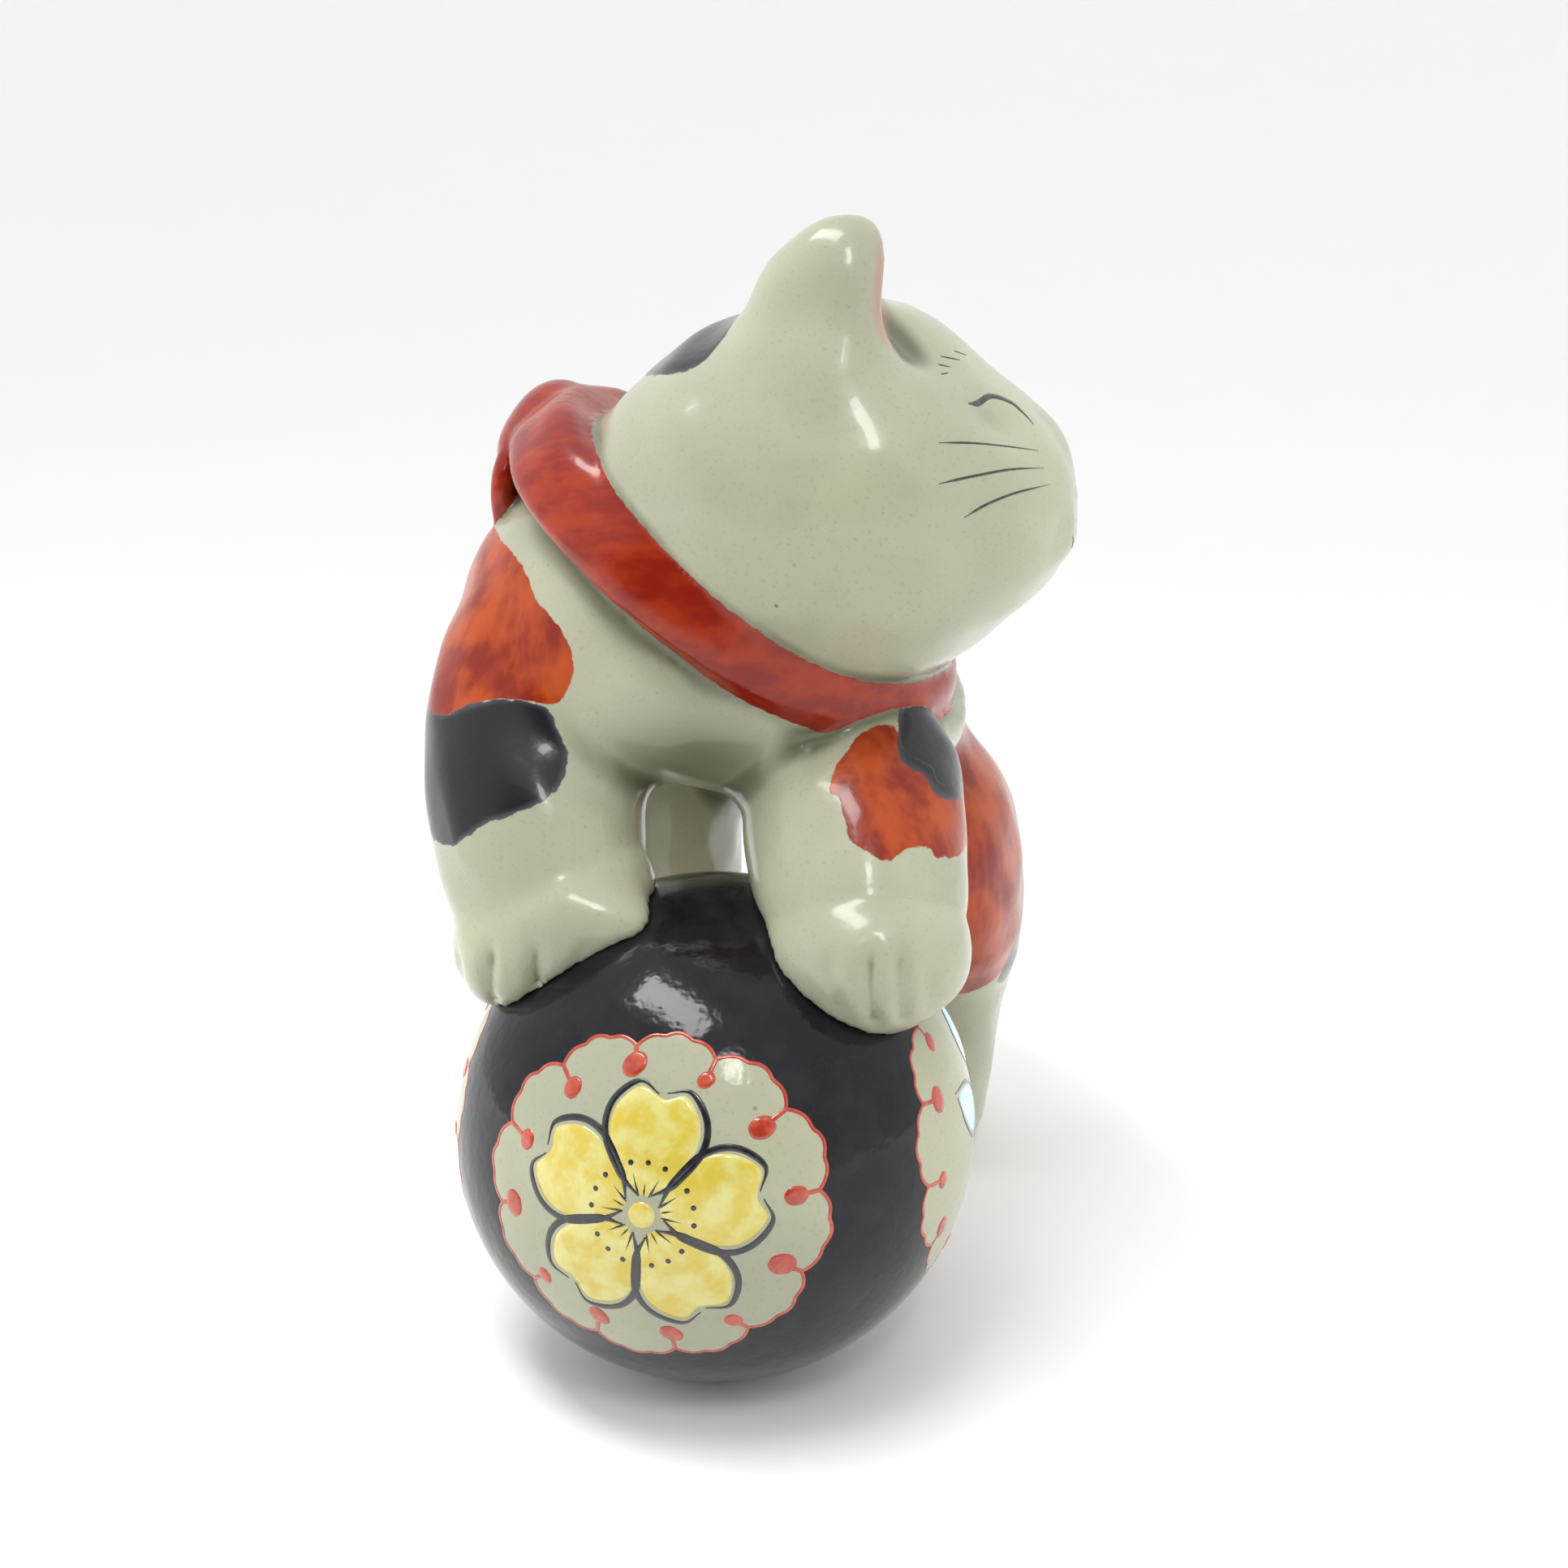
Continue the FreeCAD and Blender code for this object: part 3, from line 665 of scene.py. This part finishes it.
def painted_glaze():
    """The glaze of the cat with its orange and black patches, the red of the collar, and painted shade in
    its hollows and under the chest.
    """
    nodes = Nodes("painted_glaze", roughness=0.22, coat=0.22, coat_roughness=0.05)
    nodes.shader.inputs["Specular IOR Level"].default_value = 0.28
    colour = pale_glaze(nodes)
    # painted shade: the dark olive of pooled glaze darkens hollows, creases and the underside of the chest
    colour = nodes.mix(nodes.ramp(nodes.field("pool_and_shade"), 0.05, 1.0), colour, POOL_AND_SHADE)
    pink = nodes.math("MULTIPLY", nodes.ramp(nodes.field("pink"), -0.6, 2.2), 0.7)
    colour = nodes.mix(pink, colour, PINK)
    streaks = nodes.noise(3.2, 4, stretch=(1, 1, 5), rough=0.6)
    clouds = nodes.noise(9, 3)
    thick = nodes.ramp(nodes.math("ADD", nodes.math("MULTIPLY", streaks, 0.6), clouds), 0.66, 0.98)
    orange = nodes.painted("orange")
    colour = nodes.mix(orange, colour, nodes.mix(thick, ORANGE_THIN, ORANGE_THICK))
    black = nodes.painted("black")
    dense = nodes.ramp(nodes.math("ADD", nodes.field("black"), nodes.math("MULTIPLY", clouds, 1.5)),
                       0.3, 1.6)
    colour = nodes.mix(black, colour, nodes.mix(dense, BLACK_THIN, BLACK))
    red = nodes.painted("red", wobble=0.35)
    wash = nodes.noise(4.0, 4, stretch=(2.6, 1, 1), rough=0.6)
    red_colour = nodes.mix(nodes.ramp(wash, 0.38, 0.68), RED_THICK, RED_THIN)
    colour = nodes.mix(red, colour, red_colour)
    nodes.colour(colour)
    body = nodes.math("ADD", nodes.math("ADD", orange, black), red)
    uneven = nodes.math("MULTIPLY", nodes.noise(2.4, 2), 0.6)
    nodes.raise_by(nodes.math("ADD", nodes.math("MULTIPLY", body, 0.5), uneven), 0.10)
    return nodes.material


def ball_glaze():
    """Black glaze with pale reserves, over a bare clay foot."""
    nodes = Nodes("ball_glaze", roughness=0.12)
    nodes.shader.inputs["Specular IOR Level"].default_value = 0.3
    black = nodes.mix(nodes.ramp(nodes.noise(5, 4), 0.35, 0.75), (0.006, 0.006, 0.009), BLACK)
    reserve = nodes.painted("reserve", wobble=0.25)
    colour = nodes.mix(reserve, black, pale_glaze(nodes))
    foot = nodes.ramp(nodes.field("foot"), -0.1, 0.1)
    colour = nodes.mix(foot, colour, nodes.mix(nodes.noise(0.8, 4), CLAY, (0.38, 0.31, 0.23)))
    nodes.colour(colour)
    nodes.link(nodes.math("ADD", 0.12, nodes.math("MULTIPLY", foot, 0.7)),
               nodes.shader.inputs["Roughness"])
    nodes.raise_by(nodes.math("ADD", nodes.math("MULTIPLY", reserve, -0.4), nodes.noise(2.2, 2)), 0.08)
    return nodes.material


def enamel(name, thick, thin, size=1.6, roughness=0.18):
    """Brushed-on enamel that is deeper in colour where it lies thick."""
    nodes = Nodes(name, roughness=roughness, coat=0.5, coat_roughness=0.05)
    nodes.colour(nodes.mix(nodes.ramp(nodes.noise(size, 4, rough=0.6), 0.35, 0.68), thick, thin))
    nodes.raise_by(nodes.noise(0.9, 2), 0.04)
    return nodes.material


# ---- the ball ----
BALL_AROUND = 400         # faces round the ball
BALL_DOWN = 190           # and from its top to its foot
FOOT_INSETS = 0.5, 5.0    # rings of points on the foot, in from its edge
MEDAL_R = 22.6            # radius of a medallion
MEDAL_TILT = 4.0          # the medallions' middles are this many degrees above the ball's middle
MEDAL_TURNS = (0, 96, 181, 268)   # and turned this far round from the front, to +X first
LOBES = 12                # broad lobes of a medallion's rim, each with a bead
SCALLOPS = 36             # and small scallops
RIM_POINTS = 240
MEDAL_PHASE = 0.13        # where the first rim's lobes start, in radians, and then one more each


def ball_frame(turn):
    """Direction out of the ball, to the right and up at the middle of a medallion."""
    lon, lat = math.radians(turn - 90), math.radians(MEDAL_TILT)
    out = np.array([math.cos(lat) * math.cos(lon), math.cos(lat) * math.sin(lon), math.sin(lat)])
    right = np.array([-math.sin(lon), math.cos(lon), 0.0])
    return out, right, np.cross(out, right)


def ball_map(turn):
    """Maps flat millimetres about a medallion's middle to points and normals on the ball."""
    out, right, up = ball_frame(turn)

    def place(flat):
        flat = np.atleast_2d(flat)
        reach = np.linalg.norm(flat, axis=1, keepdims=True)
        way = flat / np.maximum(reach, 1e-9)
        angle = reach / BALL_R
        line = np.cos(angle) * out + np.sin(angle) * (way[:, :1] * right + way[:, 1:] * up)
        scale = 1 / np.sqrt((line[:, :1] ** 2 + line[:, 1:2] ** 2) / BALL_R ** 2
                            + line[:, 2:] ** 2 / BALL_RZ ** 2)
        points = BALL_MID + line * scale
        normals = unit((points - BALL_MID) / (BALL_R ** 2, BALL_R ** 2, BALL_RZ ** 2))
        return points, normals
    return place


def medal_rim(angle, phase):
    """Radius of the scalloped rim: broad lobes with small scallops on them."""
    broad = 1.5 * np.abs(np.sin(LOBES / 2 * (angle - phase)))
    small = 0.45 * np.abs(np.sin(SCALLOPS / 2 * (angle - phase)))
    slow = 0.5 * np.sin(2 * angle + 1.1 + phase) + 0.3 * np.sin(3 * angle + 2 * phase)
    return MEDAL_R - 1.6 + broad + small + slow


def ball():
    """The ball with its flat foot, and the distance fields of its medallions."""
    foot_angle = math.asin(FOOT_R / BALL_R)
    lat = np.linspace(0, math.pi - foot_angle, BALL_DOWN)[1:]
    lon = np.arange(BALL_AROUND) * 2 * math.pi / BALL_AROUND
    profile = [(BALL_R * math.sin(a), BALL_RZ * math.cos(a)) for a in lat]
    profile += [(FOOT_R - inset, profile[-1][1]) for inset in FOOT_INSETS]
    points = [(0, 0, BALL_RZ)]
    for radius, z in profile:
        points += [(radius * math.cos(a), radius * math.sin(a), z) for a in lon]
    points.append((0, 0, profile[-1][1]))
    points = np.array(points) + BALL_MID
    points[:, 2] = np.maximum(points[:, 2], 0.0)
    last = len(points) - 1
    faces = []
    for i in range(BALL_AROUND):
        j = (i + 1) % BALL_AROUND
        faces.append((0, 1 + i, 1 + j))
        end = 1 + (len(profile) - 1) * BALL_AROUND
        faces.append((last, end + j, end + i))
        for row in range(len(profile) - 1):
            a, b = 1 + row * BALL_AROUND, 1 + (row + 1) * BALL_AROUND
            faces.append((a + i, b + i, b + j, a + j))
    reserve = np.full(len(points), -FAR)
    line = unit(points - BALL_MID)
    for index, turn in enumerate(MEDAL_TURNS):
        out, right, up = ball_frame(turn)
        reach = BALL_R * np.arccos(np.clip(line @ out, -1, 1))
        angle = np.arctan2(line @ up, line @ right)
        reserve = np.maximum(reserve, medal_rim(angle, MEDAL_PHASE + index) - reach)
    mesh = smooth_mesh("ball_glazed", points, faces)
    add_field(mesh, "reserve", np.clip(reserve, -FAR, FAR))
    bare = FOOT_R - 0.2 - np.hypot(points[:, 0], points[:, 1])
    bare = np.where(points[:, 2] < 1.0, bare, -FAR)
    add_field(mesh, "foot", np.clip(bare, -FAR, FAR))
    make_piece("ball_glazed", mesh, ball_glaze(), "black_glaze", "ball")


# ---- raised enamel ----
# section of a brush line: across it as a share of its half width, up as a share of its height
LINE_SECTION = ((-1.0, -0.10), (-0.75, 0.6), (0.0, 1.0), (0.75, 0.6), (1.0, -0.10), (0.0, -1.2))


class Enamel:
    """Collects thin closed shapes of one enamel, each lying on a mapped surface."""

    def __init__(self):
        self.points, self.faces = [], []

    def add(self, points, faces):
        base = len(self.points)
        self.points += list(points)
        self.faces += [[base + int(i) for i in face] for face in faces]

    def line(self, place, flat, width, height=0.07, closed=False, taper=True):
        """A brush line of varying width through flat points."""
        flat = smooth_line(flat, closed=closed, per_span=10)
        points, normals = place(flat)
        if closed:
            ahead = np.roll(points, -1, 0) - np.roll(points, 1, 0)
        else:
            ahead = np.gradient(points, axis=0)
        side = unit(np.cross(normals, ahead))
        t = np.linspace(0, 1, len(points))
        wide = np.full(len(points), width / 2)
        if taper:
            wide = wide * (0.25 + 0.75 * ease(5 * t) * ease(3.2 * (1 - t))) * (1 - 0.25 * t)
        rows = []
        for across, rise in LINE_SECTION:
            rows.append(points + side * (across * wide)[:, None] + normals * (rise * height))
        count, n = len(rows), len(points)
        faces = []
        for i in range(n if closed else n - 1):
            j = (i + 1) % n
            for r in range(count):
                s = (r + 1) % count
                faces.append((r * n + i, r * n + j, s * n + j, s * n + i))
        if not closed:
            faces.append([r * n for r in range(count)])
            faces.append([r * n + n - 1 for r in reversed(range(count))])
        self.add(np.concatenate(rows), faces)

    def shape(self, place, outline, height=0.10, rings=7):
        """A filled shape with a domed top; its outline is star-shaped about its middle."""
        rim = smooth_line(outline, closed=True, per_span=6)
        middle = rim.mean(0)
        layers, n = [], len(rim)
        for k in range(1, rings + 1):
            share = k / rings
            points, normals = place(middle + (rim - middle) * share)
            layers.append(points + normals * height * (1 - 1.15 * share ** 6))
        under, normals = place(rim)
        layers.append(under - normals * 1.5 * height)
        top, top_normal = place(middle)
        points = np.concatenate(layers + [top + top_normal * height, top - top_normal * 1.5 * height])
        crown, bottom = len(points) - 2, len(points) - 1
        faces = []
        for i in range(n):
            j = (i + 1) % n
            faces.append((crown, i, j))
            for k in range(len(layers) - 1):
                faces.append((k * n + i, (k + 1) * n + i, (k + 1) * n + j, k * n + j))
            low = (len(layers) - 1) * n
            faces.append((bottom, low + j, low + i))
        self.add(points, faces)

    def piece(self, name, material, slot=None):
        mesh = smooth_mesh(name, self.points, self.faces)
        bm = bmesh.new()
        bm.from_mesh(mesh)
        bmesh.ops.recalc_face_normals(bm, faces=bm.faces)
        bm.to_mesh(mesh)
        bm.free()
        make_piece(name, mesh, material, slot)


def polar(radius, degrees):
    angle = math.radians(degrees)
    return radius * math.cos(angle), radius * math.sin(angle)


def turned(points, degrees, shift=(0.0, 0.0), size=1.0):
    c, s = math.cos(math.radians(degrees)), math.sin(math.radians(degrees))
    return [(size * (c * x - s * y) + shift[0], size * (s * x + c * y) + shift[1])
            for x, y in points]


# outlines of a petal and a leaf that points up, and the brush lines beside and on them
BLOSSOM_SIZE = 1.28
PETAL = ((0.0, 1.6), (2.6, 3.2), (4.3, 6.4), (4.4, 9.2), (2.6, 11.6), (0.4, 11.0), (-2.2, 11.9),
         (-4.3, 9.6), (-4.4, 6.6), (-2.4, 3.2))
PETAL_LEFT = ((-0.5, 1.8), (-2.9, 3.8), (-4.8, 7.0), (-4.6, 10.0), (-2.4, 12.2), (-0.2, 11.3))
PETAL_RIGHT = ((0.7, 2.0), (3.0, 3.6), (4.9, 6.8), (4.8, 9.6), (2.9, 11.9), (0.6, 11.5))
LEAF = ((0, 0), (2.2, 2.0), (3.1, 5.0), (2.2, 8.6), (0.2, 11.5), (-1.8, 8.8), (-2.6, 5.2), (-1.8, 2.0))
LEAF_EDGE = ((0.2, -0.4), (2.6, 2.0), (3.5, 5.2), (2.5, 9.0), (0.2, 12.6))
LEAF_OTHER = ((-0.3, 0.2), (-2.2, 2.4), (-3.0, 5.4), (-2.1, 9.2), (-0.1, 11.9))
LEAF_VEIN = ((0.1, 1.2), (0.3, 4.5), (0.1, 8.4))
STEM = ((-3, -15), (-1.5, -8), (0.8, 0), (1.5, 9))
# turn, place on the stem and size of each leaf
LEAVES = ((-52, (-0.6, -6.5), 1.05), (48, (0.3, -1.5), 1.1), (-4, (1.4, 6.5), 0.9))


def blossom(place, yellow, ink, phase):
    """A plum blossom with brushed outlines that miss the yellow a little."""
    for k in range(5):
        turn = 72 * k + phase
        yellow.shape(place, turned(PETAL, turn, size=BLOSSOM_SIZE), 0.09)
        ink.line(place, turned(PETAL_LEFT, turn, size=BLOSSOM_SIZE), 1.0)
        ink.line(place, turned(PETAL_RIGHT, turn, size=BLOSSOM_SIZE), 1.0)
        for tip in (-15, 0, 15):
            start, end = polar(2.4, 90 + turn + tip), polar(5.8, 90 + turn + 1.3 * tip)
            ink.line(place, [start, end], 0.38)
            dot = [(x + end[0] * 1.1, y + end[1] * 1.1) for x, y in (polar(0.5, 60 * i) for i in range(6))]
            ink.shape(place, dot, 0.10, 3)
    yellow.shape(place, [polar(1.7, 45 * i) for i in range(8)], 0.20, 4)


def sprig(place, blue, ink, phase):
    """Three leaves on a bending stem."""
    ink.line(place, turned(STEM, phase), 0.7)
    for turn, shift, size in LEAVES:
        where = turned([shift], phase)[0]
        blue.shape(place, turned(LEAF, turn + phase, where, size), 0.09)
        for edge, width in ((LEAF_EDGE, 0.75), (LEAF_OTHER, 0.65), (LEAF_VEIN, 0.35)):
            ink.line(place, turned(edge, turn + phase, where, size), width)


def medallions():
    """Rims, beads and painted motifs of the four medallions."""
    red, ink, yellow, blue = Enamel(), Enamel(), Enamel(), Enamel()
    for index, turn in enumerate(MEDAL_TURNS):
        place = ball_map(turn)
        phase = MEDAL_PHASE + index
        angles = np.linspace(0, 2 * math.pi, RIM_POINTS + 1)[:-1]
        rim = [(medal_rim(a, phase) * math.cos(a), medal_rim(a, phase) * math.sin(a)) for a in angles]
        red.line(place, rim, 0.5, 0.05, closed=True, taper=False)
        for k in range(LOBES):
            a = 2 * math.pi * k / LOBES + phase
            reach = medal_rim(a, phase)
            size = 1.45 + 0.3 * math.sin(2.4 * k + index)
            depth = 2.6 + 0.7 * math.sin(1.7 * k + 2 * index)
            bend = 0.06 * math.sin(3.1 * k + index)
            centre = np.array([math.cos(a + bend), math.sin(a + bend)]) * (reach - depth - 0.4)
            start = np.array([math.cos(a), math.sin(a)]) * (reach + 0.1)
            red.line(place, [start, (start + centre) / 2, centre], 0.6, 0.06, taper=False)
            bead = [centre + np.array(polar(size * (1 + 0.12 * math.cos(2 * b - a)), math.degrees(b)))
                    for b in np.arange(8) * math.pi / 4]
            red.shape(place, bead, 0.14, 4)
        if index % 2 == 0:
            blossom(place, yellow, ink, -6 + 3 * index)
        else:
            sprig(place, blue, ink, 6 * (2 - index))
    red.piece("medallion_rims", enamel("red_enamel", (0.33, 0.03, 0.015), (0.46, 0.07, 0.03)), "red_glaze")
    ink.piece("medallion_outlines", enamel("black_enamel", BLACK, (0.03, 0.03, 0.03)), "black_glaze")
    yellow.piece("blossom_petals", enamel("yellow_enamel", YELLOW, YELLOW_PALE, 3.0))
    blue.piece("sprig_leaves", enamel("blue_enamel", BLUE, BLUE_PALE, 3.0))


CAST_FROM = 60.0          # rays that look for the skin start this far out


def cast_map(tree, origin, right, up, way):
    """Maps flat millimetres about the origin to the skin, by rays along way."""
    way = unit(way)

    def place(flat):
        points, normals = [], []
        for a, b in np.atleast_2d(flat):
            start = origin + a * right + b * up - CAST_FROM * way
            hit = tree.ray_cast(Vector(start * MM), Vector(way))
            if hit[0] is None:
                hit = tree.find_nearest(Vector((start + CAST_FROM * way) * MM))
            points.append(np.array(hit[0]) / MM)
            normals.append(np.array(hit[1]))
        normals = unit(np.array(normals))
        return np.array(points), normals
    return place


def face_lines(skin):
    """Eyes, brows, whiskers and mouth."""
    tree = skin.tree()
    ink = Enamel()
    x, y, z = np.eye(3)
    forward, sideways = CHEEK_VIEW
    for side in (-1, 1):
        right = sideways * x - side * forward * y
        place = cast_map(tree, HEAD, right, z, -forward * x - side * sideways * y)
        for points, width in SIDE_LINES:
            ink.line(place, points, width)
    place = cast_map(tree, HEAD, y, z, -x)
    for points, width in MOUTH_LINES:
        ink.line(place, points, width)
    ink.piece("face_lines", enamel("brush_black", BLACK, (0.05, 0.05, 0.04), 0.8), "black_glaze")


def cat():
    """The cat's castings, sculpted, painted and cut apart again."""
    skin = fused_skin()
    away = distances(skin)
    label = np.argmin(away, axis=1)
    blend_seams(skin, away, label)
    sculpt(skin, label)
    label = tidy_labels(skin, label)
    cut_pieces(skin, label, paint(skin, away, label), painted_glaze())
    face_lines(skin)


# ---- stage and lights, in metres ----
COVE_FLAT = 0.25, 0.45    # rings on the flat floor, the outer one where it starts to rise
COVE_R = 1.9              # radius of the curve that turns it up
COVE_STEPS = 12           # rings up the curve
COVE_AROUND = 64          # faces round it
# a dark card with soft edges round the lens, which the glossy front of the object reflects
CARD_SIZE = 1.1, 0.62
CARD_AT = 0.12, -0.50, 0.24
CARD_EDGE = 0.55          # the card starts to fade at this share of its half size
PAPER = (0.94, 0.94, 0.925)
SKY = (0.97, 0.985, 1.0, 1)
# name, place, target, size, watts, whether glaze mirrors it
LAMPS = (
    ("left", (-0.60, -0.15, 0.20), (0, 0, 0.06), (0.60, 0.40), 2.0, False),
    ("right", (0.60, -0.05, 0.20), (0, 0, 0.06), (0.60, 0.40), 1.4, False),
    ("soft_box", (-0.14, -0.18, 0.66), (0, 0, 0.08), (0.40, 0.14), 2.4, True),
    ("window", (0.22, -0.50, 0.62), (0, 0, 0.06), (0.09, 0.14), 0.8, True),
)
LENS = 36.09              # millimetres, on a sensor of this width
SENSOR = 36.0
EYE = 0.05225, -0.20062, 0.1208
EYE_PITCH = 79            # degrees up from straight down
EYE_TURN = 12             # degrees round to the left


def plain(name, colour, roughness=0.6):
    nodes = Nodes(name, roughness=roughness)
    nodes.colour(nodes.mix(nodes.noise(60, 2), colour, tuple(0.99 * c for c in colour)))
    return nodes.material


def cove():
    """A white floor that curves up all round."""
    rings = [(0.0, 0.0)] + [(r, 0.0) for r in COVE_FLAT]
    for k in range(1, COVE_STEPS + 1):
        angle = math.pi / 2 * k / COVE_STEPS
        rings.append((COVE_FLAT[-1] + COVE_R * math.sin(angle), COVE_R * (1 - math.cos(angle))))
    turns = [2 * math.pi * i / COVE_AROUND for i in range(COVE_AROUND)]
    points = [(r * math.cos(turn), r * math.sin(turn), z) for r, z in rings for turn in turns]
    faces = []
    for row in range(len(rings) - 1):
        for i in range(COVE_AROUND):
            a = row * COVE_AROUND + i
            b = row * COVE_AROUND + (i + 1) % COVE_AROUND
            faces.append((a, b, b + COVE_AROUND, a + COVE_AROUND))
    mesh = smooth_mesh("cove", np.array(points) / MM, faces)
    mesh.materials.append(plain("paper", PAPER))
    add_object("cove", mesh)


def felt():
    """Dark cloth that fades out towards the edges of the card."""
    nodes = Nodes("felt", roughness=0.9)
    nodes.colour(nodes.mix(nodes.noise(8, 2), (0.012, 0.012, 0.012), (0.02, 0.02, 0.022)))
    width, tall = CARD_SIZE
    share = nodes.add("ShaderNodeVectorMath", operation="MULTIPLY")
    nodes.link(nodes.place, share.inputs[0])
    share.inputs[1].default_value = (2 * MM / width, 1, 2 * MM / tall)
    length = nodes.add("ShaderNodeVectorMath", operation="LENGTH")
    nodes.link(share.outputs[0], length.inputs[0])
    nodes.link(nodes.ramp(length.outputs["Value"], 1.0, CARD_EDGE), nodes.shader.inputs["Alpha"])
    return nodes.material


def dark_card():
    half, tall = CARD_SIZE[0] / 2, CARD_SIZE[1] / 2
    corners = [(-half, 0, -tall), (half, 0, -tall), (half, 0, tall), (-half, 0, tall)]
    mesh = smooth_mesh("dark_card", np.array(corners) / MM, [(0, 1, 2, 3)])
    mesh.materials.append(felt())
    card = add_object("dark_card", mesh)
    card.location = CARD_AT
    card.visible_camera = False
    card.visible_shadow = False


def sky():
    """Even white light from all round."""
    world = bpy.data.worlds.new("studio")
    world.use_nodes = True
    background = world.node_tree.nodes["Background"]
    background.inputs["Color"].default_value = SKY
    background.inputs["Strength"].default_value = 1.0
    bpy.context.scene.world = world


def lamp(name, place, target, size, watts, mirrored):
    """An area lamp, which glaze reflects only where it is mirrored."""
    data = bpy.data.lights.new(name, "AREA")
    data.shape = "RECTANGLE"
    data.size, data.size_y = size
    data.energy = watts
    light = add_object(name, data)
    light.location = place
    light.visible_glossy = mirrored
    way = Vector(target) - Vector(place)
    light.rotation_euler = way.to_track_quat("-Z", "Y").to_euler()


def camera():
    data = bpy.data.cameras.new("camera")
    data.lens = LENS
    data.sensor_width = SENSOR
    eye = add_object("camera", data)
    eye.location = EYE
    eye.rotation_euler = (math.radians(EYE_PITCH), 0, math.radians(EYE_TURN))
    bpy.context.scene.camera = eye


camera()
cove()
dark_card()
sky()
for row in LAMPS:
    lamp(*row)
bpy.context.scene.view_settings.view_transform = "Standard"
ball()
medallions()
cat()
